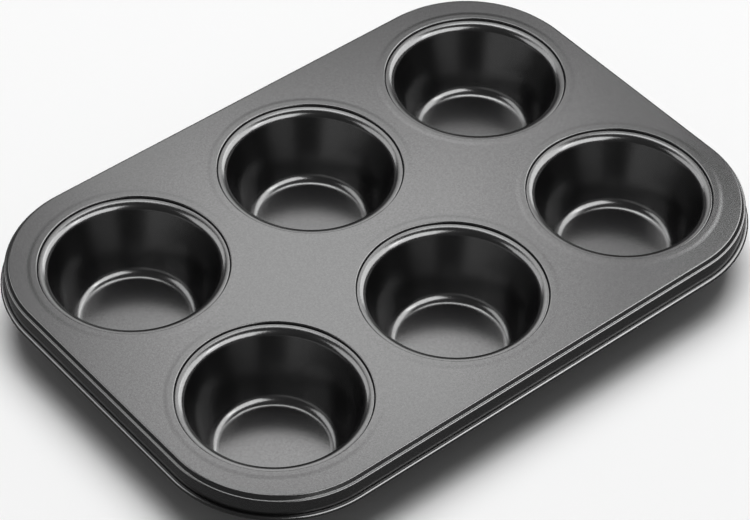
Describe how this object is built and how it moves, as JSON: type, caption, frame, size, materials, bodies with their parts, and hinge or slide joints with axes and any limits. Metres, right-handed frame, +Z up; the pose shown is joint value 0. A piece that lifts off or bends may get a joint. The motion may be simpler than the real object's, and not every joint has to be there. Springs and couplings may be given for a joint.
{
  "type": "popover pan",
  "caption": "Bakeware tray with round tapered cups lock-seamed into a flat pressed plate, with a short skirt and a rolled, wired rim.",
  "frame": {"origin": "on the surface that the cups stand on, under the middle of the tray", "axes": "+X along the tray's long side, +Y along its short side towards the back row of cups, +Z up out of the cups"},
  "size_m": [0.3434, 0.2404, 0.0386],
  "materials": {
    "nonstick_coating": "satin dark grey non-stick coating on steel",
    "rim_wire_steel": "plain drawn steel wire"
  },
  "bodies": {
    "root": {"tray_plate": "nonstick_coating", "rim_wire": "rim_wire_steel", "cup_front_left": "nonstick_coating", "cup_front_middle": "nonstick_coating", "cup_front_right": "nonstick_coating", "cup_back_left": "nonstick_coating", "cup_back_middle": "nonstick_coating", "cup_back_right": "nonstick_coating"}
  },
  "joints": []
}
